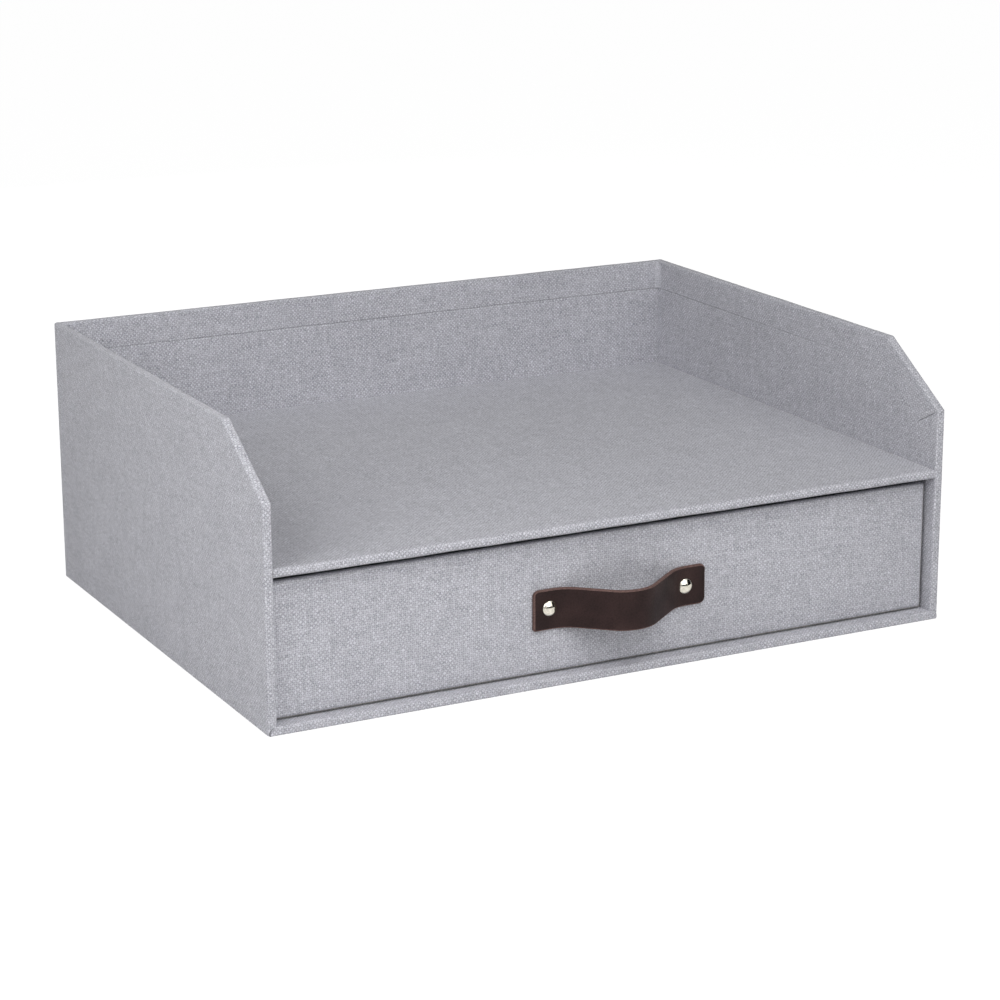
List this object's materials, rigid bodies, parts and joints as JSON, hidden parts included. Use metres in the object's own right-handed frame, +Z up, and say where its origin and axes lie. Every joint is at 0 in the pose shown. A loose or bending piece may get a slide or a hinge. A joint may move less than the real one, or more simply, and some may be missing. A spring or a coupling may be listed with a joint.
{
  "type": "letter tray with drawer",
  "caption": "Cloth-covered open-front letter tray with chamfered side walls over a sliding drawer that has a riveted leather strap pull.",
  "frame": {"origin": "the middle of the case's underside, on the surface it stands on", "axes": "+X to the right as seen from the drawer's side, +Y to the back, +Z up; the drawer opens towards -Y"},
  "size_m": [0.33, 0.2641, 0.124],
  "materials": {
    "greyboard": "matt",
    "grey_cloth": "plain-woven, matt",
    "leather": "smooth, satin",
    "nickel": "polished nickel plate"
  },
  "bodies": {
    "case": {"left_side_board": "greyboard", "right_side_board": "greyboard", "back_board": "greyboard", "base_board": "greyboard", "shelf_board": "greyboard", "wall_cover_cloth": "grey_cloth", "base_cover_cloth": "grey_cloth", "tray_floor_cloth": "grey_cloth", "tray_wall_lining": "grey_cloth", "bay_wall_lining": "grey_cloth", "bay_floor_cloth": "grey_cloth", "bay_ceiling_cloth": "grey_cloth"},
    "drawer": {"drawer_front_board": "greyboard", "drawer_back_board": "greyboard", "drawer_left_board": "greyboard", "drawer_right_board": "greyboard", "drawer_bottom_board": "greyboard", "drawer_cover_cloth": "grey_cloth", "drawer_wall_lining": "grey_cloth", "drawer_floor_lining": "grey_cloth", "drawer_underside_sheet": "grey_cloth", "leather_pull": "leather", "left_rivet_cap": "nickel", "right_rivet_cap": "nickel", "left_rivet_post": "nickel", "right_rivet_post": "nickel"}
  },
  "joints": [
    {"name": "drawer_slide", "type": "slide", "parent": "case", "child": "drawer", "axis": [0, -1, 0], "range_m": [0, 0.246]}
  ]
}
